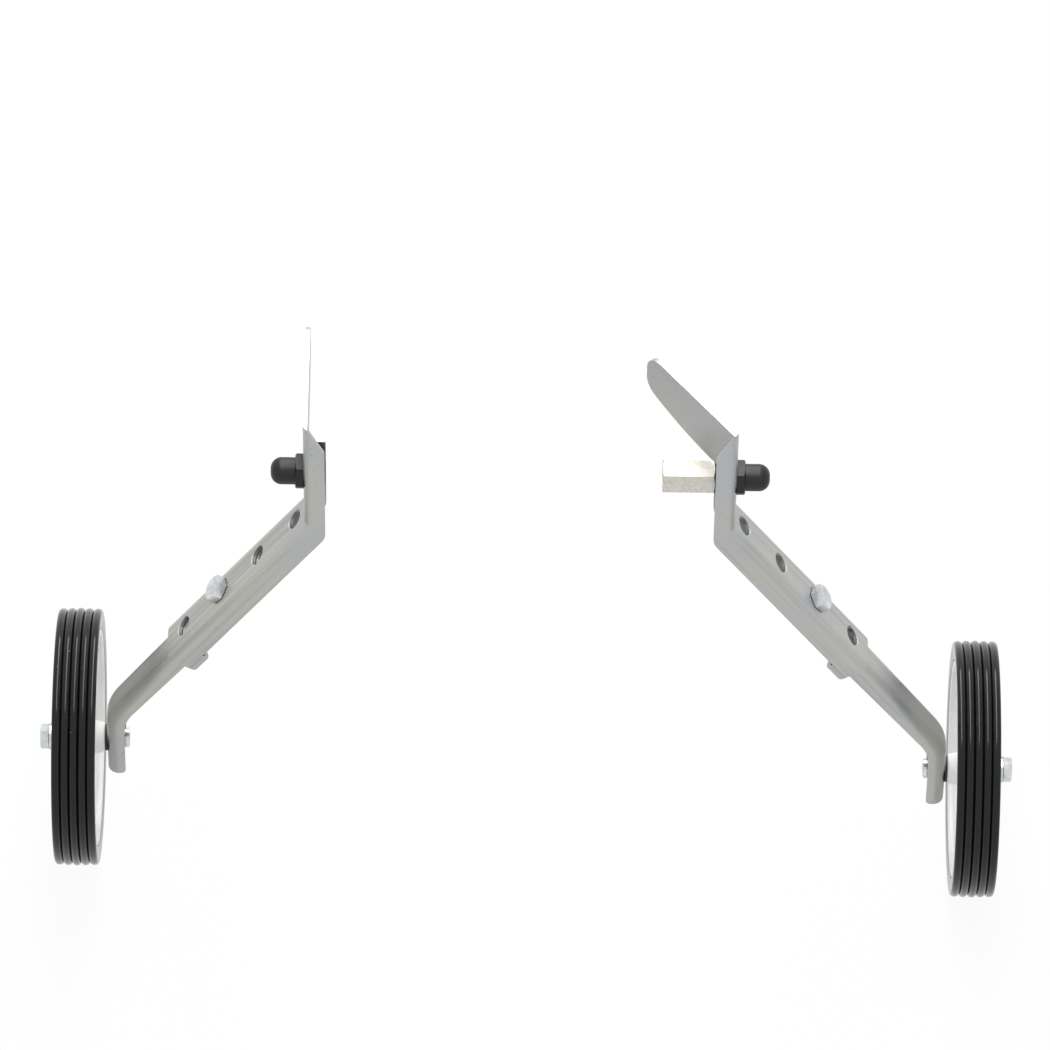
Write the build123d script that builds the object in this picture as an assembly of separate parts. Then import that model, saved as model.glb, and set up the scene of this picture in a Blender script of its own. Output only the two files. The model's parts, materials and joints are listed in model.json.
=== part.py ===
from build123d import *
import os
from dataclasses import dataclass
from math import cos, radians, sin, sqrt, tan

# A pair of training wheels. X runs along the axle line, out to the right, Y forward and Z up.
# The origin is on the axle line, midway between the two faces that the units are clamped to.
# All lengths are in millimetres.

# Threads and hex sizes
AXLE_RADIUS = 5.0
AXLE_FLATS = 15.0
BOLT_RADIUS = 4.0
BOLT_FLATS = 13.0
THREAD_GAP = 0.05
NUT_FACE = 0.7
NUT_GAP = 0.1
CHAMFER_SHARE = 0.96

# Bracket, pressed from sheet steel
LEFT_WEB = 84.6
RIGHT_WEB = 108.0
SHEET = 2.0
BRACKET_EDGE = 4.4
LEG_DEPTH = 9.5
SLOPE_ANGLE = 56.8
BEND_DROP = 27.0
BEND_RADIUS = 6.0
FLANGE_BEND_RADIUS = 10.0
FLANGE_COVER = 0.75
AXLE_HOLE_GAP = 0.25
HOLE_COUNT = 4
HOLE_PITCH = 31.2
HOLE_RADIUS = 4.5
HOLE_BEVEL = 0.4
FIRST_HOLE = 8.5
LAST_MARGIN = 13.4
BOLTED_HOLE = 2

# Forward leg of the bracket
NUT_ROOM = 1.5
ROOT_HEIGHT = 30.0
TONGUE_HEIGHT = 22.0
TONGUE_RISE = 4.0
TONGUE_SAG = 3.0
TONGUE_CORNER = 9.0
TONGUE_LENGTH = 58.0
LEFT_FOLD = 0.0
RIGHT_FOLD = 41.0
FLANGE_RUN_OUT = 16.0

# Hooks that hold the lower arm in the bracket
HOOK_LENGTH = 9.0
HOOK_TIP = 1.5
HOOK_DROP = 2.0

# Lower arm, a channel that slides inside the bracket
ARM_SHEET = 1.6
ARM_GAP = 0.3
WEB_GAP = 0.25
ARM_EDGE = 2.6
END_EDGE = 5.0
ARM_DEPTH = 9.2
END_DEPTH = 8.2
ARM_LENGTH = 131.0
ARM_EVEN = 57.0
ARM_BEND_RADIUS = 33.0
ARM_CORNER_SHARE = 0.75
SLOT_TRAVEL = 36.0
SLOT_GAP = 0.3
SLOT_MARGIN = 12.0
LEFT_RAISED = 17.5
RIGHT_RAISED = 0.0
WHEEL_DROP = 23.5
END_MARGIN = 16.5

# Axle fasteners
CAP_BASE = 3.8
CAP_DOME = 11.0
CAP_DOME_RADIUS = 6.1
CAP_ROUND = 4.9
CAP_THREAD = 11.6
CAP_TURN_ANGLE = 25.0
LOCK_NUT = 7.6
EXTENSION_FLATS = 14.2
EXTENSION_END = 75.0
EXTENSION_SOCKET = 16.0
EXTENSION_TURN_ANGLE = 21.0
STUD_REACH = 9.5

# Height and wheel fasteners
BOLT_HEAD = 5.3
BOLT_TAIL = 1.5
HEIGHT_NUT = 6.4
WHEEL_BOLT_RADIUS = 3.0
WHEEL_BOLT_FLATS = 10.0
WHEEL_BOLT_HEAD = 4.1
WHEEL_NUT = 6.0
COLLAR = 2.0
COLLAR_RADIUS = 4.6
WASHER = 1.6
INNER_WASHER = 1.0
WASHER_RADIUS = 6.2
SLEEVE_WALL = 1.5
SLEEVE_GAP = 0.06
END_PLAY = 0.15

# Wheel
TYRE_RADIUS = 59.5
TYRE_WIDTH = 20.0
RIB_COUNT = 5
RIB_HEIGHT = 1.7
RIB_DROP = 0.15
SHOULDER = 1.6
TYRE_HEIGHT = 9.0
TYRE_SEAT = 0.05
RIM_INSET = 0.6
RIM_WALL = 3.0
RIDGE_HEIGHT = 2.0
RIDGE_WIDTH = 7.0
STEP_WIDTH = 4.0
STEP_INSET = 3.0
DISC = 3.0
BOSS_RADIUS = 6.6
BOSS_ROOT = 3.0
BOSS_REACH = 2.0
SPOKE_COUNT = 8
SPOKE_WIDTH = 2.2
SPOKE_INSET = 4.5
RIM_ROUND = 0.8
STEP_ROUND = 1.2
BOSS_ROUND = 0.6

# Sizes that follow from the fits: the nut sets the arm's inside, the arm sets the bracket's.
SLOPE_SIN = sin(radians(SLOPE_ANGLE))
SLOPE_COS = cos(radians(SLOPE_ANGLE))
ARM_INSIDE = BOLT_FLATS + 2 * NUT_GAP
ARM_WIDTH = ARM_INSIDE + 2 * ARM_SHEET
BRACKET_INSIDE = ARM_WIDTH + 2 * ARM_GAP
BRACKET_WIDTH = BRACKET_INSIDE + 2 * SHEET
ARM_SET_IN = SHEET + WEB_GAP
SLOPE_DEPTH = ARM_SET_IN + ARM_DEPTH + FLANGE_COVER
SLOPE_LENGTH = FIRST_HOLE + (HOLE_COUNT - 1) * HOLE_PITCH + LAST_MARGIN
BOLT_ALONG = FIRST_HOLE + BOLTED_HOLE * HOLE_PITCH
WEB_TOP = AXLE_FLATS / sqrt(3) + NUT_ROOM
BRACKET_TOP = WEB_TOP + ROOT_HEIGHT
HUB_LENGTH = TYRE_WIDTH + 2 * BOSS_REACH
SLEEVE_LENGTH = HUB_LENGTH + 2 * END_PLAY
WHEEL_BORE = WHEEL_BOLT_RADIUS + THREAD_GAP
SLEEVE_RADIUS = WHEEL_BORE + SLEEVE_WALL
END_ROUND = END_EDGE - ARM_SHEET
ARM_CORNER = ARM_CORNER_SHARE * (END_DEPTH - END_EDGE)
RIM_RADIUS = TYRE_RADIUS - TYRE_HEIGHT
RIM_WIDTH = TYRE_WIDTH - 2 * RIM_INSET

# How far cuts run past a solid, and how edges along a web are found
PAST = 20.0
MATCH = 0.01
WEB_REACH = 2.4


@dataclass
class Side:
    """What differs between the two units: place, fold of the forward leg, and arm setting."""

    name: str
    web: float
    fold: float
    raised: float
    mirrored: bool

    @property
    def bend(self):
        """Corner of the bracket's outer face, where its vertical leg meets the slope."""
        return (self.web, -BEND_DROP)

    @property
    def arm_bend(self):
        """Corner of the lower arm's outer face, where its slope meets the vertical end."""
        along = BOLT_ALONG + ARM_LENGTH - SLOT_MARGIN - self.raised
        return slope_point(self.bend, along, ARM_SET_IN)

    @property
    def wheel_axis(self):
        """Height of the wheel's axis."""
        return self.arm_bend[1] - WHEEL_DROP


def slope_point(bend, along, depth):
    """Point a distance down the slope from a bend, and a depth in from the outer face."""
    out = bend[0] + along * SLOPE_COS - depth * SLOPE_SIN
    up = bend[1] - along * SLOPE_SIN - depth * SLOPE_COS
    return (out, up)


def bend_point(bend, leg_depth, slope_depth):
    """Corner where a vertical run and a sloped run meet, each set in by its own depth."""
    up = bend[1] + (SLOPE_SIN * leg_depth - slope_depth) / SLOPE_COS
    return (bend[0] - leg_depth, up)


def across(out, up=0.0, inward=False):
    """Plane square to the axle line, facing out or, for what points inward, in."""
    return Plane((out, 0, up), x_dir=(0, 1, 0), z_dir=(-1 if inward else 1, 0, 0))


def on_slope(bend, along, depth, inward=False):
    """Plane on the slope's web, facing out of the channel or into it."""
    out, up = slope_point(bend, along, depth)
    turn = -1 if inward else 1
    return Plane((out, 0, up), x_dir=(0, 1, 0), z_dir=(turn * SLOPE_SIN, 0, turn * SLOPE_COS))


def down_slope(bend, along):
    """Plane square to the slope, facing down it, its first axis leading in from the outer face."""
    out, up = slope_point(bend, along, 0)
    return Plane((out, 0, up), x_dir=(-SLOPE_SIN, 0, -SLOPE_COS), z_dir=(SLOPE_COS, 0, -SLOPE_SIN))


def rounded(points, rounds):
    """Closed outline through the points, with the numbered corners rounded."""
    face = make_face(Polyline(*points, close=True))
    for number, radius in rounds.items():
        corner = face.vertices().sort_by_distance(points[number])[0]
        face = fillet(corner, radius)
    return face


def bar(points, rounds, width, edge_radius):
    """Bent bar of one side outline, its web side rounded; the first three points are the web."""
    solid = extrude(Plane.XZ * rounded(points, rounds), amount=width / 2, both=True)
    web = Plane.XZ * Polyline(*points[:3])
    long_edges = []
    for edge in solid.edges():
        middle = edge.position_at(0.5)
        beside = abs(abs(middle.Y) - width / 2) < MATCH
        if beside and web.distance_to(Vector(middle.X, 0, middle.Z)) < WEB_REACH:
            long_edges.append(edge)
    return fillet(long_edges, edge_radius)


def hexagon(plane, flats, height, bevel_start=False, turn=0.0):
    """Hex prism on a plane, turned back from flats that face fore and aft, its far corners bevelled."""
    corner = flats / sqrt(3)
    bevel = corner - CHAMFER_SHARE * flats / 2
    prism = extrude(RegularPolygon(flats / 2, 6, major_radius=False, rotation=30 - turn), amount=height)
    blank = Pos(0, 0, height / 2) * Cylinder(corner, height)
    ends = blank.edges().filter_by(GeomType.CIRCLE).sort_by(Axis.Z)
    chosen = ends if bevel_start else ends[-1:]
    return plane * (prism & chamfer(chosen, bevel / 2, bevel))


def rod(plane, radius, height):
    """Round bar that stands on a plane."""
    return plane * (Pos(0, 0, height / 2) * Cylinder(radius, height))


def hex_bolt(plane, length, radius, flats, head):
    """Hex bolt seated on a plane, its shank going down through it."""
    return hexagon(plane, flats, head) + rod(plane.offset(-length), radius, length)


def hex_nut(plane, flats, height, bore, face_radius, face_height=NUT_FACE):
    """Hex nut on a plane, with a round washer face towards its seat."""
    body = hexagon(plane.offset(face_height), flats, height - face_height)
    face = rod(plane, face_radius, face_height)
    return body + face - rod(plane, bore, height)


def ring(plane, outer, inner, height):
    """Flat ring or tube that stands on a plane."""
    return rod(plane, outer, height) - rod(plane, inner, height)


def hook_profile():
    """J section of one hook: the flange runs down, round the arm's edge and up inside it."""
    flange = BRACKET_INSIDE / 2
    hold = ARM_SHEET / 2 + ARM_GAP
    middle = flange - hold
    edge = ARM_SET_IN + ARM_DEPTH + HOOK_DROP
    top = -edge + HOOK_DROP + HOOK_TIP
    outer, inner = hold + SHEET, hold
    outside = ThreePointArc((middle + outer, -edge), (middle, -edge - outer), (middle - outer, -edge))
    tip = Polyline(outside @ 1, (middle - outer, top), (middle - inner, top), (middle - inner, -edge))
    inside = ThreePointArc(tip @ 1, (middle, -edge - inner), (middle + inner, -edge))
    wall = Polyline(inside @ 1, (middle + inner, top), (middle + outer, top), outside @ 0)
    return make_face([outside, tip, inside, wall])


def hooks(side):
    """The two curled hooks at the lower end of the bracket's flanges."""
    out, up = slope_point(side.bend, SLOPE_LENGTH - HOOK_LENGTH, 0)
    section = Plane((out, 0, up), x_dir=(0, 1, 0), z_dir=(SLOPE_COS, 0, -SLOPE_SIN))
    front = extrude(section * hook_profile(), amount=HOOK_LENGTH)
    return front + mirror(front, Plane.XZ)


def channel(side):
    """U channel of the bracket's vertical and sloped legs."""
    bend = side.bend
    outer = [
        (side.web, WEB_TOP),
        bend,
        slope_point(bend, SLOPE_LENGTH, 0),
        slope_point(bend, SLOPE_LENGTH, SLOPE_DEPTH),
        bend_point(bend, LEG_DEPTH, SLOPE_DEPTH),
        (side.web - LEG_DEPTH, WEB_TOP),
    ]
    inner = [
        (side.web - SHEET, WEB_TOP + PAST),
        bend_point(bend, SHEET, SHEET),
        slope_point(bend, SLOPE_LENGTH + PAST, SHEET),
        slope_point(bend, SLOPE_LENGTH + PAST, SLOPE_DEPTH + PAST),
        bend_point(bend, LEG_DEPTH + PAST, SLOPE_DEPTH + PAST),
        (side.web - LEG_DEPTH - PAST, WEB_TOP + PAST),
    ]
    body = bar(outer, {1: BEND_RADIUS, 4: FLANGE_BEND_RADIUS}, BRACKET_WIDTH, BRACKET_EDGE)
    inside = bar(inner, {1: BEND_RADIUS + SHEET}, BRACKET_INSIDE, BRACKET_EDGE - SHEET)
    return body - inside


def tongue_outline():
    """Outline of the forward leg on the flat: tall at its root, with a hollow lower edge."""
    end_top = BRACKET_TOP + TONGUE_RISE
    end_low = end_top - TONGUE_HEIGHT
    middle = (WEB_TOP + end_low) / 2 - TONGUE_SAG
    lower = ThreePointArc((0, WEB_TOP), (TONGUE_LENGTH / 2, middle), (TONGUE_LENGTH, end_low))
    rest = Polyline(lower @ 1, (TONGUE_LENGTH, end_top), (0, BRACKET_TOP), lower @ 0)
    face = make_face([lower, rest])
    corners = face.vertices().sort_by(Axis.X)[-2:]
    return fillet(corners, TONGUE_CORNER)


def forward_leg(side):
    """Leg that runs forward from the rear corner, folded in from the web's plane."""
    turn = radians(side.fold)
    radius = BRACKET_EDGE - SHEET / 2
    out = side.web - BRACKET_EDGE + radius * cos(turn)
    rear = -BRACKET_WIDTH / 2 + BRACKET_EDGE - radius * sin(turn)
    pivot = Pos(out, rear, 0) * Rot(0, 0, side.fold)
    tongue = extrude(Plane.YZ * tongue_outline(), amount=SHEET / 2, both=True)
    knuckle = Pos(0, 0, WEB_TOP + ROOT_HEIGHT / 2) * Cylinder(SHEET / 2, ROOT_HEIGHT)
    return pivot * (tongue + knuckle)


def rear_corner(side):
    """Rear flange and its rounded corner carried up past the web, cut away on a slant."""
    inner_edge = side.web - LEG_DEPTH
    rear = -BRACKET_WIDTH / 2
    middle = (side.web - BRACKET_EDGE, rear + BRACKET_EDGE)
    outside = CenterArc(middle, BRACKET_EDGE, -90, 90)
    inside = CenterArc(middle, BRACKET_EDGE - SHEET, 0, -90)
    end = Line(outside @ 1, inside @ 0)
    flange = Polyline(inside @ 1, (inner_edge, rear + SHEET), (inner_edge, rear), outside @ 0)
    section = make_face([outside, end, inside, flange])
    strip = extrude(Pos(0, 0, WEB_TOP) * section, amount=ROOT_HEIGHT)
    slant = extrude(
        Plane.XZ * make_face(Polyline(
            (inner_edge, BRACKET_TOP - FLANGE_RUN_OUT),
            (side.web - SHEET, BRACKET_TOP),
            (inner_edge, BRACKET_TOP),
            close=True,
        )),
        amount=BRACKET_WIDTH,
        both=True,
    )
    return strip - slant


def bracket(side):
    """Pressed steel bracket of one unit, with its axle hole and its row of height holes."""
    body = channel(side) + rear_corner(side) + forward_leg(side) + hooks(side)
    body -= rod(across(side.web - PAST), AXLE_RADIUS + AXLE_HOLE_GAP, 2 * PAST)
    for number in range(HOLE_COUNT):
        face = on_slope(side.bend, FIRST_HOLE + number * HOLE_PITCH, 0)
        body -= rod(face.offset(-2 * SHEET), HOLE_RADIUS, 4 * SHEET)
        body -= face * Pos(0, 0, -HOLE_BEVEL / 2) * Cone(HOLE_RADIUS, HOLE_RADIUS + HOLE_BEVEL, HOLE_BEVEL)
    return body


def arm_section(plane, set_in, depth, edge):
    """Section of the arm on a plane square to it, set in from its outside, with rounded web corners."""
    half = ARM_WIDTH / 2 - set_in
    points = [(set_in, -half), (set_in, half), (depth, half), (depth, -half)]
    return plane * rounded(points, {0: edge - set_in, 1: edge - set_in})


def arm_bar(side, set_in=0.0, past=0.0):
    """Solid bar of the arm's form: even at first, its corners growing rounder to the bend and the end.

    Set in and run past its open sides, it is the room inside the channel.
    """
    bend = side.arm_bend
    turn = 90 - SLOPE_ANGLE
    tangent = ARM_BEND_RADIUS * tan(radians(turn / 2))
    centre = slope_point(bend, -tangent, ARM_BEND_RADIUS)
    upright = Plane((bend[0], 0, bend[1] - tangent), x_dir=(-1, 0, 0), z_dir=(0, 0, -1))
    top = arm_section(down_slope(bend, -ARM_LENGTH - past), set_in, ARM_DEPTH + past, ARM_EDGE)
    even = arm_section(down_slope(bend, ARM_EVEN - ARM_LENGTH), set_in, ARM_DEPTH + past, ARM_EDGE)
    round_end = arm_section(down_slope(bend, -tangent), set_in, END_DEPTH + past, END_EDGE)
    lower = arm_section(upright, set_in, END_DEPTH + past, END_EDGE)
    body = extrude(top, amount=ARM_EVEN + past)
    body += loft([even, round_end])
    body += revolve(round_end, Axis((centre[0], 0, centre[1]), (0, 1, 0)), turn)
    return body + extrude(lower, amount=WHEEL_DROP + END_MARGIN - tangent + past)


def lower_arm(side):
    """Channel that slides in the bracket: slotted slope, then a vertical end for the wheel."""
    bend = side.arm_bend
    body = arm_bar(side) - arm_bar(side, ARM_SHEET, ARM_SHEET)
    corners = [edge for edge in body.edges().filter_by(Axis.Y) if abs(edge.length - ARM_SHEET) < MATCH]
    body = fillet(corners, ARM_CORNER)
    middle = SLOT_MARGIN + SLOT_TRAVEL / 2 - ARM_LENGTH
    slot_radius = BOLT_RADIUS + SLOT_GAP
    slot = SlotCenterToCenter(SLOT_TRAVEL, 2 * slot_radius, rotation=90)
    body -= extrude(on_slope(bend, middle, ARM_SHEET) * slot, amount=SHEET, both=True)
    return body - rod(across(bend[0] - PAST, side.wheel_axis), WHEEL_BORE, 2 * PAST)


def nut_stand(radius):
    """Height above the arm's end at which a disc of a radius meets the channel's inner rounding."""
    reach = max(radius - ARM_INSIDE / 2 + END_ROUND, 0)
    return END_ROUND - sqrt(END_ROUND**2 - reach**2)


def height_bolt(side):
    """Hex bolt that clamps the lower arm in the bracket."""
    length = SHEET + WEB_GAP + ARM_SHEET + HEIGHT_NUT + BOLT_TAIL
    return hex_bolt(on_slope(side.bend, BOLT_ALONG, 0), length, BOLT_RADIUS, BOLT_FLATS, BOLT_HEAD)


def height_nut(side):
    """Nut of the height bolt, held from turning by the arm's flanges."""
    seat = on_slope(side.bend, BOLT_ALONG, ARM_SET_IN + ARM_SHEET, inward=True)
    face = ARM_INSIDE / 2 - (ARM_EDGE - ARM_SHEET)
    return hex_nut(seat, BOLT_FLATS, HEIGHT_NUT, BOLT_RADIUS + THREAD_GAP, face)


def cap_nut(side):
    """Domed nut on the outside of the bracket, with a blind thread."""
    seat = across(side.web)
    base = hexagon(seat, AXLE_FLATS, CAP_BASE, turn=CAP_TURN_ANGLE)
    dome = rod(seat, CAP_DOME_RADIUS, CAP_BASE + CAP_DOME)
    dome = fillet(dome.edges().filter_by(GeomType.CIRCLE).sort_by(Axis.X)[-1:], CAP_ROUND)
    return base + dome - rod(seat, AXLE_RADIUS + THREAD_GAP, CAP_THREAD)


def lock_nut(side):
    """Nut inside the bracket's channel, behind the web."""
    seat = across(side.web - SHEET, inward=True)
    face = BRACKET_INSIDE / 2 - (BRACKET_EDGE - SHEET)
    return hex_nut(seat, AXLE_FLATS, LOCK_NUT, AXLE_RADIUS + THREAD_GAP, face)


def axle_extension(side):
    """Hex bar with a threaded socket at its inner end and a stud that goes through the bracket."""
    shoulder = side.web - SHEET - LOCK_NUT
    length = shoulder - EXTENSION_END
    body = hexagon(across(EXTENSION_END), EXTENSION_FLATS, length, True, EXTENSION_TURN_ANGLE)
    stud = rod(across(shoulder), AXLE_RADIUS, LOCK_NUT + SHEET + STUD_REACH)
    return body + stud - rod(across(EXTENSION_END), AXLE_RADIUS + THREAD_GAP, EXTENSION_SOCKET)


def wheel_bolt(side):
    """Hex bolt that is the wheel's axle, its head on the outside."""
    stack = INNER_WASHER + SLEEVE_LENGTH + WASHER
    length = stack + ARM_SHEET + nut_stand(COLLAR_RADIUS) + WHEEL_NUT + COLLAR
    seat = across(side.arm_bend[0] + stack, side.wheel_axis)
    return hex_bolt(seat, length, WHEEL_BOLT_RADIUS, WHEEL_BOLT_FLATS, WHEEL_BOLT_HEAD)


def outer_washer(side):
    """Washer under the wheel bolt's head."""
    seat = across(side.arm_bend[0] + INNER_WASHER + SLEEVE_LENGTH, side.wheel_axis)
    return ring(seat, WASHER_RADIUS, WHEEL_BORE, WASHER)


def inner_washer(side):
    """Washer between the hub and the arm."""
    seat = across(side.arm_bend[0], side.wheel_axis)
    return ring(seat, WASHER_RADIUS, WHEEL_BORE, INNER_WASHER)


def axle_sleeve(side):
    """Tube clamped between the washers, which the hub turns on."""
    seat = across(side.arm_bend[0] + INNER_WASHER, side.wheel_axis)
    return ring(seat, SLEEVE_RADIUS, WHEEL_BORE, SLEEVE_LENGTH)


def wheel_nut(side):
    """Self-locking nut inside the arm, with a round collar."""
    stand = nut_stand(COLLAR_RADIUS)
    seat = across(side.arm_bend[0] - ARM_SHEET - stand, side.wheel_axis, inward=True)
    face = nut_stand(WHEEL_BOLT_FLATS / 2) - stand
    nut = hex_nut(seat, WHEEL_BOLT_FLATS, WHEEL_NUT, WHEEL_BORE, COLLAR_RADIUS, face)
    return nut + ring(seat.offset(WHEEL_NUT), COLLAR_RADIUS, WHEEL_BORE, COLLAR)


def wheel_middle(side):
    """Plane through the middle of the wheel, square to its axis."""
    return across(side.arm_bend[0] + INNER_WASHER + SLEEVE_LENGTH / 2, side.wheel_axis)


def turned(half, rounds):
    """Solid turned from half of a section, given as (radius, height) from outside to middle."""
    points = half + [(radius, -height) for radius, height in reversed(half)]
    both = dict(rounds)
    for number, radius in rounds.items():
        both[len(points) - 1 - number] = radius
    return revolve(Plane.XZ * rounded(points, both), Axis.Z)


def hub(side):
    """Moulded wheel: stepped rim with a ridge for the tyre, thin disc, spoke ribs and boss."""
    bore = SLEEVE_RADIUS + SLEEVE_GAP
    inside = RIM_RADIUS - RIM_WALL
    step = inside - STEP_WIDTH
    half = [
        (bore, HUB_LENGTH / 2),
        (BOSS_RADIUS, HUB_LENGTH / 2),
        (BOSS_RADIUS + BOSS_ROOT, DISC / 2),
        (step, DISC / 2),
        (step, RIM_WIDTH / 2 - STEP_INSET),
        (inside, RIM_WIDTH / 2 - STEP_INSET),
        (inside, RIM_WIDTH / 2),
        (RIM_RADIUS, RIM_WIDTH / 2),
        (RIM_RADIUS, RIDGE_WIDTH / 2),
        (RIM_RADIUS + RIDGE_HEIGHT, RIDGE_WIDTH / 2),
    ]
    rounds = {1: BOSS_ROUND, 3: STEP_ROUND, 4: RIM_ROUND, 5: STEP_ROUND, 6: RIM_ROUND, 7: RIM_ROUND}
    body = turned(half, rounds)
    start, end = BOSS_RADIUS, step + STEP_WIDTH / 2
    spoke = Pos((start + end) / 2, 0, 0)
    spoke = spoke * Box(end - start, SPOKE_WIDTH, RIM_WIDTH - 2 * SPOKE_INSET)
    body += PolarLocations(0, SPOKE_COUNT) * spoke
    return wheel_middle(side) * body


def tyre(side):
    """Solid rubber tyre: a row of round tread ribs, low shoulders, and a groove for the rim's ridge."""
    pitch = TYRE_WIDTH / RIB_COUNT
    valley = TYRE_RADIUS - RIB_HEIGHT - RIB_DROP
    seat = RIM_RADIUS + TYRE_SEAT
    groove = seat + RIDGE_HEIGHT
    half_groove = RIDGE_WIDTH / 2 + TYRE_SEAT
    half = TYRE_WIDTH / 2
    lines = []
    for number in range(RIB_COUNT):
        middle = (number - (RIB_COUNT - 1) / 2) * pitch
        crown = TYRE_RADIUS - RIB_DROP * abs(number - (RIB_COUNT - 1) / 2)
        low, high = middle - pitch / 2, middle + pitch / 2
        lines.append(ThreePointArc((valley, low), (crown, middle), (valley, high)))
    lines.append(Polyline(
        (valley, half),
        (valley - SHOULDER, half),
        (seat, half - RIM_INSET),
        (seat, half_groove),
        (groove, half_groove),
        (groove, -half_groove),
        (seat, -half_groove),
        (seat, RIM_INSET - half),
        (valley - SHOULDER, -half),
        (valley, -half),
    ))
    return wheel_middle(side) * revolve(Plane.XZ * make_face(lines), Axis.Z)


PIECES = [
    bracket,
    cap_nut,
    lock_nut,
    height_bolt,
    height_nut,
    lower_arm,
    wheel_bolt,
    outer_washer,
    inner_washer,
    axle_sleeve,
    wheel_nut,
    hub,
    tyre,
]
LEFT = Side("left", LEFT_WEB, LEFT_FOLD, LEFT_RAISED, mirrored=True)
RIGHT = Side("right", RIGHT_WEB, RIGHT_FOLD, RIGHT_RAISED, mirrored=False)


def save(piece, side):
    """Write one piece of one unit; the left unit is modelled as a right one and mirrored."""
    shape = piece(side)
    if side.mirrored:
        shape = mirror(shape, Plane.YZ)
    export_step(shape, f"parts/{side.name}_{piece.__name__}.step")


os.makedirs("parts", exist_ok=True)
for side in (LEFT, RIGHT):
    for piece in PIECES:
        save(piece, side)
save(axle_extension, RIGHT)
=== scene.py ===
import json

import bmesh
import bpy
import numpy as np
from mathutils import Matrix, Vector


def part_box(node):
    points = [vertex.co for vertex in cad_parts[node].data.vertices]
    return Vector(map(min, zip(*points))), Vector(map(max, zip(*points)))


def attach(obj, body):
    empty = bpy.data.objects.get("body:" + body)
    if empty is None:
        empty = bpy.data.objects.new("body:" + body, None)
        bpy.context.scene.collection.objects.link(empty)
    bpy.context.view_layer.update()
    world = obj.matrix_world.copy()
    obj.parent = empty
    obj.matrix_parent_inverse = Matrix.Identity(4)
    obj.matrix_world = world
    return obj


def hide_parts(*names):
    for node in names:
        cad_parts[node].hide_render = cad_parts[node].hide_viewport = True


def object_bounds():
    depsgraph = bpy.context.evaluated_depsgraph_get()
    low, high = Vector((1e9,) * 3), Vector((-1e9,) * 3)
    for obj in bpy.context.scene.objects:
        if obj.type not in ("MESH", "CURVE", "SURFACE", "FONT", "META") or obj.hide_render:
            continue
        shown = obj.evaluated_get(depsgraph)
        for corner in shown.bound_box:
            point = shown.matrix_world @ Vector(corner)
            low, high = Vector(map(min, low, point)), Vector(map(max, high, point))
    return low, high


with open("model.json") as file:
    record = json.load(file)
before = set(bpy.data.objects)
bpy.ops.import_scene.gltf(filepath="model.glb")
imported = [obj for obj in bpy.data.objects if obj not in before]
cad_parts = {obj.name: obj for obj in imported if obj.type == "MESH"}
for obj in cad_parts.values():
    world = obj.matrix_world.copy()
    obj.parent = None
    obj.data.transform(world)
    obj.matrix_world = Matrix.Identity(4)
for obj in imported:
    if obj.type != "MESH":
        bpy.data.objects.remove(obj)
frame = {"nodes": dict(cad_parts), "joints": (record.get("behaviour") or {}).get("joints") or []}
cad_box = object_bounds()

MM = 0.001
SIDES = {"left": -1, "right": 1}


# Brackets
# Each is one pressed channel of 2 mm sheet steel, drawn, bent and punched, then zinc plated.
# The axle goes through the upright leg, and the lower arm slides inside the sloped one.
PLATE_BLUE = "#b6b8ba"
PLATE_WARM = "#bbbbb6"
PLATE_SPAN = (0.38, 0.62)
BLOTCH = 36
STAIN_GREEN = "#9da19b"
GREEN_SPAN = (0.5, 0.66)
STAIN_STRAW = "#c8c0b5"
STRAW_SPAN = (0.47, 0.31)
STAIN_SHARE = (0.0, 0.6)
NO_STAIN = 0.485
STREAK_ACROSS = 3
STREAK_ALONG = 150
STREAK_WANDER = 0.3
SLOPE_MIDDLE = -98 * MM
SLOPE_HALF = 60 * MM
SLOPE_FADE = 14 * MM
NICK_GREY = "#7c7f81"
NICK_SPAN = (0.76, 0.8)
NICK_SHARE = (0.0, 0.5)
NICK = 2.2
# Painted shade deep inside the channel: dark grey where surfaces within a reach close a place in.
CHANNEL_PAINTED_SHADE = "#3f4140"
CHANNEL_SHADE_SPAN = (0.72, 0.28)
CHANNEL_SHADE_SHARE = (0.0, 0.92)
CHANNEL_SHADE_REACH = 25 * MM
CHANNEL_SHADE_SAMPLES = 8
LINE_ACROSS = 0.9
LINE_ALONG = 60
DRAWN_STRENGTH = 0.12
DRAWN_DEPTH = 0.02 * MM
SHEET_ROUGH = (0.4, 0.5)
NOISE_SPAN = (0.3, 0.7)
WHOLE_SPAN = (0.0, 1.0)


def linear(colour):
    """Linear RGBA of an sRGB hex colour."""
    values = np.array([int(colour[start:start + 2], 16) / 255 for start in (1, 3, 5)])
    bright = ((values + 0.055) / 1.055) ** 2.4
    return (*np.where(values > 0.04045, bright, values / 12.92), 1.0)


def repeats(size):
    """Texture scale that gives features of a size in millimetres."""
    return 1 / (size * MM)


def add(tree, kind, inputs=(), **settings):
    """Adds a node with its settings; each input is a value or the socket that feeds it."""
    node = tree.nodes.new(kind)
    for name, value in settings.items():
        setattr(node, name, value)
    for socket, value in dict(inputs).items():
        if isinstance(value, bpy.types.NodeSocket):
            tree.links.new(value, node.inputs[socket])
        else:
            node.inputs[socket].default_value = value
    return node


def calculate(tree, operation, *values):
    """Result of a calculation on numbers or sockets."""
    return add(tree, "ShaderNodeMath", dict(enumerate(values)), operation=operation).outputs[0]


def object_place(tree):
    """Place on the object, in metres."""
    return add(tree, "ShaderNodeTexCoord").outputs["Object"]


def noise(tree, place, size, detail):
    """Noise with features of a size in millimetres."""
    inputs = {"Vector": place, "Scale": repeats(size), "Detail": detail}
    return add(tree, "ShaderNodeTexNoise", inputs).outputs[0]


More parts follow.
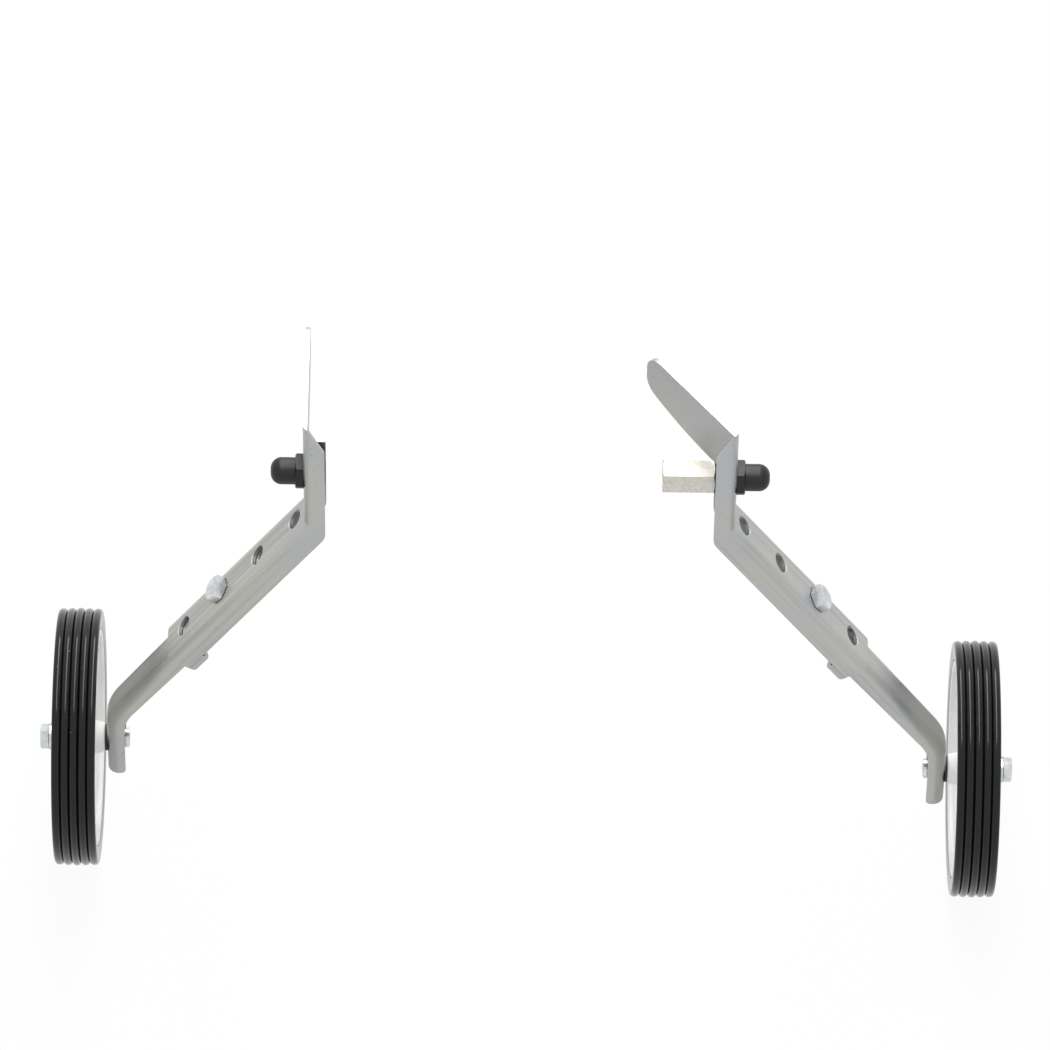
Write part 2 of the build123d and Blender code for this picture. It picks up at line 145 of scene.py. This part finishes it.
def streaks(tree, place, across, along, detail, wander=0.0):
    """Noise drawn out along Z, with features of two sizes in millimetres."""
    stretch = (repeats(across), repeats(across), repeats(along))
    drawn = add(tree, "ShaderNodeVectorMath", {0: place, 1: stretch}, operation="MULTIPLY").outputs[0]
    inputs = {"Vector": drawn, "Scale": 1, "Detail": detail, "Distortion": wander}
    return add(tree, "ShaderNodeTexNoise", inputs).outputs[0]


def remap(tree, value, span, to=WHOLE_SPAN):
    """A value's span spread over another one, and held at its ends."""
    inputs = {"Value": value, "From Min": span[0], "From Max": span[1], "To Min": to[0], "To Max": to[1]}
    return add(tree, "ShaderNodeMapRange", inputs).outputs[0]


def blend(tree, share, first, second):
    """Mix of two colours, each a hex colour or a socket."""
    first, second = (linear(one) if isinstance(one, str) else one for one in (first, second))
    return add(tree, "ShaderNodeMix", {0: share, 6: first, 7: second}, data_type="RGBA").outputs[2]


def openness(tree, distance, **settings):
    """One in the open, and less where surfaces within a distance close a place in."""
    return add(tree, "ShaderNodeAmbientOcclusion", {"Distance": distance}, **settings).outputs["AO"]


def relief(tree, height, strength, depth):
    """Normal of a fine relief with a depth in metres."""
    inputs = {"Height": height, "Strength": strength, "Distance": depth}
    return add(tree, "ShaderNodeBump", inputs).outputs[0]


def new_material(name, **even):
    """Empty material with its shader, whose even values are set on its own sockets."""
    material = bpy.data.materials.new(name)
    material.use_nodes = True
    shader = material.node_tree.nodes["Principled BSDF"]
    for socket, value in even.items():
        shader.inputs[socket.replace("_", " ")].default_value = value
    return material, material.node_tree, shader


def feed(tree, shader, colour, rough, normal=None):
    """Feeds a finish's colour, roughness and relief to its shader."""
    tree.links.new(colour, shader.inputs["Base Color"])
    tree.links.new(rough, shader.inputs["Roughness"])
    if normal is not None:
        tree.links.new(normal, shader.inputs["Normal"])


def wear(node, material):
    """Gives a node of the frame its finish."""
    slots = frame["nodes"][node].data.materials
    slots.clear()
    slots.append(material)


def slope_of(side):
    """Direction down the slope, in which a lower arm slides out of its bracket."""
    return np.array(next(joint["axis"] for joint in frame["joints"] if joint["name"] == side + "_height"))


def zinc_plated_sheet(side):
    """Zinc-plated pressed steel: a soft grey metal, cool and warm in patches, streaked along the slope.

    Deep inside the channel and its holes, where surfaces close it in, it is painted dull and dark: painted
    shade.
    """
    slope = slope_of(side)
    lean = np.arctan2(slope[0], -slope[2])
    material, tree, shader = new_material("zinc_plated_sheet_" + side, Metallic=1.0)
    place = object_place(tree)
    leg = add(tree, "ShaderNodeMapping", {"Vector": place, "Rotation": (0, lean, 0)}).outputs[0]
    patch = remap(tree, noise(tree, leg, BLOTCH, detail=3), PLATE_SPAN)
    plate = blend(tree, patch, PLATE_BLUE, PLATE_WARM)
    height = add(tree, "ShaderNodeSeparateXYZ", {0: place}).outputs["Z"]
    away = calculate(tree, "ABSOLUTE", calculate(tree, "SUBTRACT", height, SLOPE_MIDDLE))
    sloped = remap(tree, away, (SLOPE_HALF + SLOPE_FADE, SLOPE_HALF))
    stain = streaks(tree, leg, STREAK_ACROSS, STREAK_ALONG, detail=4, wander=STREAK_WANDER)
    stain = add(tree, "ShaderNodeMix", {0: sloped, 2: NO_STAIN, 3: stain}).outputs[0]
    plate = blend(tree, remap(tree, stain, GREEN_SPAN, STAIN_SHARE), plate, STAIN_GREEN)
    plate = blend(tree, remap(tree, stain, STRAW_SPAN, STAIN_SHARE), plate, STAIN_STRAW)
    chips = noise(tree, leg, NICK, detail=1)
    plate = blend(tree, remap(tree, chips, NICK_SPAN, NICK_SHARE), plate, NICK_GREY)
    # Painted shade: the channel's inside and its holes turn dark grey where surfaces close them in.
    painted_shade_openness = openness(tree, CHANNEL_SHADE_REACH, samples=CHANNEL_SHADE_SAMPLES, only_local=True)
    plate = blend(tree, remap(tree, painted_shade_openness, CHANNEL_SHADE_SPAN, CHANNEL_SHADE_SHARE), plate, CHANNEL_PAINTED_SHADE)
    lines = streaks(tree, leg, LINE_ACROSS, LINE_ALONG, detail=2)
    rough = remap(tree, lines, NOISE_SPAN, SHEET_ROUGH)
    feed(tree, shader, plate, rough, relief(tree, lines, DRAWN_STRENGTH, DRAWN_DEPTH))
    return material


sheet_steel = {side: zinc_plated_sheet(side) for side in SIDES}
for side in SIDES:
    wear(side + "_bracket", sheet_steel[side])


# Axle nuts
# A domed cap nut outside each bracket and a plain lock nut inside it, both turned from hex steel bar
# and coated satin black.
BLACK_COAT = "#111214"
BLACK_RUB = "#27292c"
RUB_SPAN = (0.5, 0.8)
RUB_SHARE = (0.0, 0.7)
COAT_PATCH = 7
COAT_GRAIN = 0.6
COAT_STRENGTH = 0.4
COAT_DEPTH = 0.03 * MM
COAT_ROUGH = (0.36, 0.5)
COAT_SPECULAR = 0.42


def satin_black_steel():
    """Black coated steel: near black with a soft sheen and a faint grain, greyer where it is rubbed."""
    material, tree, shader = new_material("satin_black_steel", Specular_IOR_Level=COAT_SPECULAR)
    place = object_place(tree)
    patch = noise(tree, place, COAT_PATCH, detail=3)
    coat = blend(tree, remap(tree, patch, RUB_SPAN, RUB_SHARE), BLACK_COAT, BLACK_RUB)
    rough = remap(tree, patch, NOISE_SPAN, COAT_ROUGH)
    grain = noise(tree, place, COAT_GRAIN, detail=2)
    feed(tree, shader, coat, rough, relief(tree, grain, COAT_STRENGTH, COAT_DEPTH))
    return material


black_steel = satin_black_steel()
for side in SIDES:
    wear(side + "_cap_nut", black_steel)
    wear(side + "_lock_nut", black_steel)


# Axle extension
# A hex bar with a threaded socket and a stud, which carries the right bracket out past the end of the axle.
# It is hot-dip galvanised, so its flats are dull and faintly spangled.
GALVANISED_LIGHT = "#dad8cf"
GALVANISED_DARK = "#c6c3ba"
SPANGLE = 1.4
GRIT = SPANGLE / 4
GRIT_STRENGTH = 0.25
GRIT_DEPTH = 0.03 * MM
GALVANISED_ROUGH = (0.44, 0.58)


def dull_galvanised_steel():
    """Galvanised steel: dull warm grey metal, each zinc crystal a slightly different grey."""
    material, tree, shader = new_material("dull_galvanised_steel", Metallic=1.0)
    place = object_place(tree)
    crystal = add(tree, "ShaderNodeTexVoronoi", {"Vector": place, "Scale": repeats(SPANGLE)})
    grey = add(tree, "ShaderNodeSeparateColor", {0: crystal.outputs["Color"]}).outputs[0]
    zinc = blend(tree, grey, GALVANISED_DARK, GALVANISED_LIGHT)
    rough = remap(tree, grey, WHOLE_SPAN, GALVANISED_ROUGH)
    grit = noise(tree, place, GRIT, detail=4)
    feed(tree, shader, zinc, rough, relief(tree, grit, GRIT_STRENGTH, GRIT_DEPTH))
    return material


wear("right_axle_extension", dull_galvanised_steel())


# Lower arms
# A narrower channel of 1.6 mm sheet that nests in the bracket, slotted for the height bolt and bent
# upright at the wheel. It is pressed and plated like the bracket.
for side in SIDES:
    wear(side + "_lower_arm", sheet_steel[side])


# Height bolts and nuts
# An M8 hex bolt through one of the bracket's four holes clamps the arm against a nut inside it.
# Both are cold forged and bright zinc plated.
HEIGHT_FLATS = 11 * MM
HEIGHT_HEAD = 4.4 * MM
HEIGHT_PITCH = 1.25 * MM
HEIGHT_PLAIN = 0
HEX_SIDES = 6
BOLT_POINT = 0.9 * MM
DISH_DEPTH = 1.3 * MM
DISH_STEPS = 6
DISH_SHARE = 0.8
HEAD_REACH = 1.15
SHANK_SHARE = 0.25
THREAD_SHARE = 0.5
CHAMFER_CIRCLE = 0.96
CHAMFER_SLOPE = np.tan(np.radians(30))
EDGE_BREAK = 0.3 * MM
TURN_STEPS = 96
HEAD_TURN_STEPS = 3
HEAD_TURN = HEAD_TURN_STEPS * 2 * np.pi / TURN_STEPS
CORNER_POWER = 110
PITCH_STEPS = 14
SHARP_EDGE = np.radians(34)
MERGE_DISTANCE = 1e-7
FORE_AND_AFT = np.array((0.0, 1.0, 0.0))
ZINC_BRIGHT = "#e0e2e0"
ZINC_BLUE = "#c0c6ca"
ZINC_SPAN = (0.35, 0.65)
ZINC_PATCH = 5
# Painted shade in the crease where a bolt, nut or washer sits on another piece:
SEAT_PAINTED_SHADE = "#3a3c3d"
SEAT_SHADE_SPAN = (0.62, 0.42)
SEAT_SHADE_SHARE = (0.0, 0.9)
SEAT_SHADE_REACH = 2.5 * MM
SEAT_SHADE_SAMPLES = 16
HANDLING_MARK = 0.5
HANDLING_STRENGTH = 0.08
HANDLING_DEPTH = 0.01 * MM
ZINC_ROUGH = (0.2, 0.3)


def bright_zinc_plate():
    """Bright zinc plate on forged steel: nearly white metal, cool in patches, with fine handling marks.

    Painted shade darkens the crease where it sits on another piece.
    """
    material, tree, shader = new_material("bright_zinc_plate", Metallic=1.0)
    place = object_place(tree)
    patch = remap(tree, noise(tree, place, ZINC_PATCH, detail=3), ZINC_SPAN)
    zinc = blend(tree, patch, ZINC_BRIGHT, ZINC_BLUE)
    # Painted shade: dark grey in the crease where it sits on another piece.
    painted_shade_openness = openness(tree, SEAT_SHADE_REACH, samples=SEAT_SHADE_SAMPLES)
    zinc = blend(tree, remap(tree, painted_shade_openness, SEAT_SHADE_SPAN, SEAT_SHADE_SHARE), zinc, SEAT_PAINTED_SHADE)
    marks = noise(tree, place, HANDLING_MARK, detail=3)
    rough = remap(tree, marks, NOISE_SPAN, ZINC_ROUGH)
    feed(tree, shader, zinc, rough, relief(tree, marks, HANDLING_STRENGTH, HANDLING_DEPTH))
    return material


def node_points(node):
    """Corners of a node's mesh, one row each, in metres."""
    corners = frame["nodes"][node].data.vertices
    flat = np.empty(len(corners) * 3)
    corners.foreach_get("co", flat)
    return flat.reshape(-1, 3)


def full_turn(steps):
    """Angles once round, without the last one, which is the first again."""
    return np.linspace(0, 2 * np.pi, steps, endpoint=False)


def surface(name, grid, material, ring=False):
    """Quads between the neighbours of a grid of points that closes round its columns.

    In a ring its rows close too. A row that shrinks to one point is merged into a pole.
    """
    rows, columns = grid.shape[:2]
    index = np.arange(rows * columns).reshape(rows, columns)
    index = np.vstack([index, index[:1]]) if ring else index
    index = np.hstack([index, index[:, :1]])
    quads = np.stack([index[:-1, :-1], index[:-1, 1:], index[1:, 1:], index[1:, :-1]], axis=-1)
    mesh = bpy.data.meshes.new(name)
    mesh.from_pydata(grid.reshape(-1, 3), [], quads.reshape(-1, 4))
    work = bmesh.new()
    work.from_mesh(mesh)
    bmesh.ops.remove_doubles(work, verts=work.verts, dist=MERGE_DISTANCE)
    bmesh.ops.recalc_face_normals(work, faces=work.faces)
    work.to_mesh(mesh)
    work.free()
    mesh.shade_smooth()
    mesh.set_sharp_from_angle(angle=SHARP_EDGE)
    mesh.materials.append(material)
    piece = bpy.data.objects.new(name, mesh)
    bpy.context.scene.collection.objects.link(piece)
    return piece


def hexagon(turn, half):
    """Radius at an angle: half the flats over a high power mean of the cosines to the six flats.

    The higher the power, the sharper the corners.
    """
    flats = np.arange(HEX_SIDES)[:, None] * 2 * np.pi / HEX_SIDES
    facing = np.maximum(np.cos(turn - flats), 0)
    return half / (facing ** CORNER_POWER).sum(axis=0) ** (1 / CORNER_POWER)


def thread(radius, pitch, plain, below, turn):
    """Radius of a shank: less a triangle wave of the depth less the turn.

    The wave fades in past the plain part.
    """
    wave = np.abs(2 * np.mod(below / pitch - turn / (2 * np.pi), 1) - 1)
    fade = np.clip((below - plain) / pitch, 0, 1)
    return radius - THREAD_SHARE * pitch * wave * fade


def hex_bolt(name, node, axis, flats, head, pitch, plain, material):
    """Hex bolt in place of a node: one profile from head to point, its radius set by height and turn.

    The dish in the head is a shallow paraboloid. The node gives the shank's radius and length and the seat.
    """
    axis = np.array(axis)
    sideways = np.cross(axis, FORE_AND_AFT)
    points = node_points(node)
    height, fore, beside = (points @ direction for direction in (axis, FORE_AND_AFT, sideways))
    fore_middle = (fore.max() + fore.min()) / 2
    beside_middle = (beside.max() + beside.min()) / 2
    out = np.hypot(fore - fore_middle, beside - beside_middle)
    shank = out[height < height.mean() - SHANK_SHARE * np.ptp(height)].max()
    seat = height[out > HEAD_REACH * shank].min()
    length = seat - height.min()
    centre = seat * axis + fore_middle * FORE_AND_AFT + beside_middle * sideways
    turn = full_turn(TURN_STEPS)
    level = np.ones(TURN_STEPS)
    side = hexagon(turn - np.sign(axis[0]) * HEAD_TURN, flats / 2)
    circle = CHAMFER_CIRCLE * flats / 2 * level
    dish = np.linspace(0, 1, DISH_STEPS)[:, None]
    dish_radius = DISH_SHARE * dish * circle
    dish_height = (head - DISH_DEPTH * (1 - dish ** 2)) * level
    head_radius = np.stack([circle, side, side, side - EDGE_BREAK, shank * level])
    shoulder = head - np.maximum(side - circle, 0) * CHAMFER_SLOPE
    head_height = np.stack([head * level, shoulder, EDGE_BREAK * level, 0 * level, 0 * level])
    below = np.linspace(0, length, int(PITCH_STEPS * length / pitch))[1:, None]
    cone = shank - BOLT_POINT + (length - below)
    shank_radius = np.minimum(thread(shank, pitch, plain, below, turn), cone)
    shank_height = -below * level
    radius = np.concatenate([dish_radius, head_radius, shank_radius, 0 * level[None]])
    along = np.concatenate([dish_height, head_height, shank_height, -length * level[None]])
    ring = np.cos(turn)[:, None] * FORE_AND_AFT + np.sin(turn)[:, None] * sideways
    grid = centre + along[..., None] * axis + radius[..., None] * ring
    bolt = surface(name, grid, material)
    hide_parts(node)
    return bolt


bright_zinc = bright_zinc_plate()
for side, sign in SIDES.items():
    slope = slope_of(side)
    outward = (-sign * slope[2], 0, abs(slope[0]))
    name = side + "_height_bolt"
    sizes = (HEIGHT_FLATS, HEIGHT_HEAD, HEIGHT_PITCH, HEIGHT_PLAIN)
    bolt = hex_bolt(name + "_threaded", name, outward, *sizes, bright_zinc)
    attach(bolt, "brackets")
    wear(side + "_height_nut", bright_zinc)


# Wheel bolts, sleeves, washers and self-locking nuts
# A long M6 bolt is the wheel's axle. It clamps a steel sleeve, which the hub turns on, between two washers
# and the arm, with a self-locking nut whose nylon ring grips the thread.
WHEEL_FLATS = 10 * MM
WHEEL_HEAD = 4.1 * MM
WHEEL_PITCH = 1 * MM
PLAIN_SHANK = 20 * MM
RING_OUTER = 4.2 * MM
RING_INNER = 2.75 * MM
RING_PROUD = 0.25 * MM
RING_LENGTH = 1.6 * MM
RING_STEPS = 24
NYLON_WHITE = "#e4e6e2"
NYLON_BLUE = "#ccd6dc"
NYLON_BLACK = "#161618"
NYLON_GREY = "#232326"
NYLON_PATCH = 3
NYLON_GRAIN = 0.4
NYLON_ROUGH = (0.38, 0.62)


def moulded_nylon(name, first, second):
    """Moulded nylon: a slightly waxy plastic, nearly even in colour, with a fine matt grain."""
    material, tree, shader = new_material(name)
    place = object_place(tree)
    nylon = blend(tree, noise(tree, place, NYLON_PATCH, detail=2), first, second)
    rough = remap(tree, noise(tree, place, NYLON_GRAIN, detail=2), WHOLE_SPAN, NYLON_ROUGH)
    feed(tree, shader, nylon, rough)
    return material


def nylon_ring(name, end, outward, material):
    """Ring whose section is a soft square: the signed square roots of an angle's cosine and sine."""
    around = full_turn(RING_STEPS)
    turn = full_turn(TURN_STEPS)
    circle = np.stack([np.cos(around), np.sin(around)])
    square = np.sqrt(np.abs(circle)) * np.sign(circle)
    radius = (RING_OUTER + RING_INNER) / 2 + (RING_OUTER - RING_INNER) / 2 * square[0]
    depth = RING_PROUD - RING_LENGTH / 2 + RING_LENGTH / 2 * square[1]
    grid = np.empty((RING_STEPS, TURN_STEPS, 3))
    grid[..., 0] = end[0] + outward * depth[:, None]
    grid[..., 1] = end[1] + radius[:, None] * np.cos(turn)
    grid[..., 2] = end[2] + radius[:, None] * np.sin(turn)
    return surface(name, grid, material, ring=True)


insert_nylon = moulded_nylon("nylon_insert", NYLON_WHITE, NYLON_BLUE)
washer_nylon = moulded_nylon("black_nylon_washer", NYLON_BLACK, NYLON_GREY)
for side, sign in SIDES.items():
    name = side + "_wheel_bolt"
    sizes = (WHEEL_FLATS, WHEEL_HEAD, WHEEL_PITCH, PLAIN_SHANK)
    bolt = hex_bolt(name + "_threaded", name, (sign, 0, 0), *sizes, bright_zinc)
    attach(bolt, side + "_arm")
    for piece in ("_outer_washer", "_axle_sleeve", "_wheel_nut"):
        wear(side + piece, bright_zinc)
    wear(side + "_inner_washer", washer_nylon)
    low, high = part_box(side + "_wheel_nut")
    end = ((low[0] if sign > 0 else high[0]), (low[1] + high[1]) / 2, (low[2] + high[2]) / 2)
    insert = nylon_ring(side + "_nut_insert", end, -sign, insert_nylon)
    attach(insert, side + "_arm")


# Hubs
# One moulding of white plastic: a rim with a ridge that holds the tyre, a recessed disc with spokes, and a
# boss that turns on the sleeve.
PLASTIC_WHITE = "#f1f1ef"
PLASTIC_SHADE = "#e4e5e6"
FLOW_SPAN = (0.4, 0.75)
FLOW_PATCH = 18
MOULD_GRAIN = 0.5
MOULD_STRENGTH = 0.3
MOULD_DEPTH = 0.02 * MM
PLASTIC_ROUGH = (0.3, 0.46)


def white_moulded_plastic():
    """Moulded polypropylene: clean white with soft gloss, faintly uneven and finely grained."""
    material, tree, shader = new_material("white_moulded_plastic")
    place = object_place(tree)
    flow = noise(tree, place, FLOW_PATCH, detail=3)
    plastic = blend(tree, remap(tree, flow, FLOW_SPAN), PLASTIC_WHITE, PLASTIC_SHADE)
    rough = remap(tree, flow, WHOLE_SPAN, PLASTIC_ROUGH)
    grain = noise(tree, place, MOULD_GRAIN, detail=2)
    feed(tree, shader, plastic, rough, relief(tree, grain, MOULD_STRENGTH, MOULD_DEPTH))
    return material


hub_plastic = white_moulded_plastic()
for side in SIDES:
    wear(side + "_hub", hub_plastic)


# Tyres
# A solid ring of black rubber with five round tread ribs, moulded in one piece and stretched over the
# rim's ridge.
CROWN_HEIGHT = 1.85 * MM
CROWN_DROP = 0.15 * MM
RIB_COUNT = 5
RIB_STEPS = 22
SIDE_STEPS = 10
TYRE_TURN_STEPS = 240
TYRE_HEIGHT = 8.95 * MM
SIDE_INSET = 0.6 * MM
GROOVE = 2 * MM
GROOVE_HALF = 3.55 * MM
RUBBER_BLACK = "#0d0d0e"
RUBBER_GREY = "#161719"
RUBBER_PATCH = 12
RUBBER_GRAIN = 0.5
RUBBER_STRENGTH = 0.08
RUBBER_DEPTH = 0.05 * MM
RUBBER_ROUGH = (0.12, 0.2)
RUBBER_SPECULAR = 0.28
DUST = "#8a8b8d"
DUST_SPAN = (0.86, 0.89)
DUST_SHARE = (0.0, 0.7)
DUST_SPECK = 1.1


def tyre_rubber():
    """Moulded rubber: deep charcoal with narrow soft highlights, a fine grain and a few specks of dust."""
    material, tree, shader = new_material("tyre_rubber", Specular_IOR_Level=RUBBER_SPECULAR)
    place = object_place(tree)
    patch = noise(tree, place, RUBBER_PATCH, detail=4)
    rubber = blend(tree, patch, RUBBER_BLACK, RUBBER_GREY)
    specks = noise(tree, place, DUST_SPECK, detail=0)
    rubber = blend(tree, remap(tree, specks, DUST_SPAN, DUST_SHARE), rubber, DUST)
    rough = remap(tree, patch, WHOLE_SPAN, RUBBER_ROUGH)
    grain = noise(tree, place, RUBBER_GRAIN, detail=3)
    feed(tree, shader, rubber, rough, relief(tree, grain, RUBBER_STRENGTH, RUBBER_DEPTH))
    return material


def tyre_profile(half, outer):
    """Section of the tyre as rows of axial place and radius, once round.

    Each rib is half an ellipse. The side walls lean in with the square of the way down, and the seat has a
    groove for the rim's ridge.
    """
    valley = outer - CROWN_HEIGHT
    foot = outer - TYRE_HEIGHT
    arch = np.linspace(0, np.pi, RIB_STEPS)[:-1]
    rib = np.arange(RIB_COUNT)[:, None]
    half_rib = half / RIB_COUNT
    crown = CROWN_HEIGHT - CROWN_DROP * np.abs(rib - (RIB_COUNT - 1) / 2)
    across = (2 * rib + 1) * half_rib - half - half_rib * np.cos(arch)
    tread = np.stack([across, valley + crown * np.sin(arch)], axis=-1).reshape(-1, 2)
    down = np.linspace(0, 1, SIDE_STEPS)
    wall = np.stack([half - SIDE_INSET * down ** 2, valley + (foot - valley) * down], axis=-1)
    corner = np.array([(GROOVE_HALF, foot), (GROOVE_HALF, foot + GROOVE)])
    mirror = np.array((-1, 1))
    return np.concatenate([tread, wall, corner, corner[::-1] * mirror, wall[:0:-1] * mirror])


def ribbed_tyre(name, node, material):
    """The tyre's section turned about the wheel's axis, in place of a node."""
    low, high = (np.array(corner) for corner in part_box(node))
    centre = (low + high) / 2
    section = tyre_profile(*(high - low)[:2] / 2)
    turn = full_turn(TYRE_TURN_STEPS)
    grid = np.empty((len(section), TYRE_TURN_STEPS, 3))
    grid[..., 0] = section[:, :1]
    grid[..., 1] = section[:, 1:] * np.cos(turn)
    grid[..., 2] = section[:, 1:] * np.sin(turn)
    tyre = surface(name, centre + grid, material, ring=True)
    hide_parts(node)
    return tyre


rubber = tyre_rubber()
for side in SIDES:
    tyre = ribbed_tyre(side + "_tyre_ribbed", side + "_tyre", rubber)
    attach(tyre, side + "_wheel")


# Floor, light and camera
# A plain white studio floor, one long soft lamp that reaches from overhead to ahead, and a long lens that
# looks down from behind.
FLOOR_HALF = 3.0
FLOOR_GAP = 0.1 * MM
FLOOR_WHITE = "#f2f2f2"
FLOOR_GLOW = 0.94
FLOOR_ROUGH = 0.9
WORLD_WHITE = "#fdfdfd"
AMBIENT = 0.52
LAMP_PLACE = Vector((0, 0.79, 1.61))
LAMP_AIM = Vector((0, 0, -0.12))
LAMP_WIDTH = 0.6
LAMP_LENGTH = 3.1
LAMP_POWER = 44
IMAGE_PIXELS = 1050
FOCAL_PIXELS = 9000
SENSOR = 36
PITCH = np.radians(51)
ROLL = np.radians(0.84)
AIM_RIGHT = 0.0138
AIM_UP = -0.0228
DISTANCE = 4.005
CLIP_END = 4 * DISTANCE


def seen_directly(tree):
    """One for rays from the camera, a reflection or glass, and nought for light that falls on the object."""
    path = add(tree, "ShaderNodeLightPath").outputs
    seen = calculate(tree, "MAXIMUM", path["Is Camera Ray"], path["Is Glossy Ray"])
    return calculate(tree, "MAXIMUM", seen, path["Is Transmission Ray"])


def white_floor():
    """White studio floor: a matt surface that keeps the shadow, part of its white glowing to the camera."""
    material, tree, shader = new_material("white_floor", Roughness=FLOOR_ROUGH)
    shader.inputs["Base Color"].default_value = linear(FLOOR_WHITE)
    glow = add(tree, "ShaderNodeEmission", {"Strength": 1.0}).outputs[0]
    share = calculate(tree, "MULTIPLY", seen_directly(tree), FLOOR_GLOW)
    mixed = add(tree, "ShaderNodeMixShader", {0: share, 1: shader.outputs[0], 2: glow}).outputs[0]
    tree.links.new(mixed, tree.nodes["Material Output"].inputs["Surface"])
    return material


floor_height = cad_box[0][2] - FLOOR_GAP
corners = [(x * FLOOR_HALF, y * FLOOR_HALF, floor_height) for x, y in ((-1, -1), (1, -1), (1, 1), (-1, 1))]
floor_mesh = bpy.data.meshes.new("studio_floor")
floor_mesh.from_pydata(corners, [], [(0, 1, 2, 3)])
floor_mesh.materials.append(white_floor())
studio_floor = bpy.data.objects.new("studio_floor", floor_mesh)
bpy.context.scene.collection.objects.link(studio_floor)

world = bpy.data.worlds.new("soft_white_room")
world.use_nodes = True
bpy.context.scene.world = world
room = world.node_tree.nodes["Background"]
room.inputs["Color"].default_value = linear(WORLD_WHITE)
brightness = remap(world.node_tree, seen_directly(world.node_tree), WHOLE_SPAN, (AMBIENT, 1.0))
world.node_tree.links.new(brightness, room.inputs["Strength"])

light = bpy.data.lights.new("strip_softbox", "AREA")
light.shape = "RECTANGLE"
light.size = LAMP_WIDTH
light.size_y = LAMP_LENGTH
light.energy = LAMP_POWER
lamp = bpy.data.objects.new("strip_softbox", light)
lamp.location = LAMP_PLACE
lamp.rotation_euler = (LAMP_AIM - LAMP_PLACE).to_track_quat("-Z", "Y").to_euler()
bpy.context.scene.collection.objects.link(lamp)

lens = bpy.data.cameras.new("long_lens")
lens.sensor_width = SENSOR
lens.lens = FOCAL_PIXELS * SENSOR / IMAGE_PIXELS
lens.clip_end = CLIP_END
view = Vector((0, np.cos(PITCH), -np.sin(PITCH)))
upright = Vector((0, np.sin(PITCH), np.cos(PITCH)))
level_right = Vector((1, 0, 0))
right = np.cos(ROLL) * level_right + np.sin(ROLL) * upright
up = np.cos(ROLL) * upright - np.sin(ROLL) * level_right
target = AIM_RIGHT * right + AIM_UP * up
turned = Matrix((right, up, -view)).transposed().to_4x4()
camera = bpy.data.objects.new("camera", lens)
camera.matrix_world = Matrix.Translation(target - DISTANCE * view) @ turned
bpy.context.scene.collection.objects.link(camera)
bpy.context.scene.camera = camera
bpy.context.scene.view_settings.view_transform = "Standard"
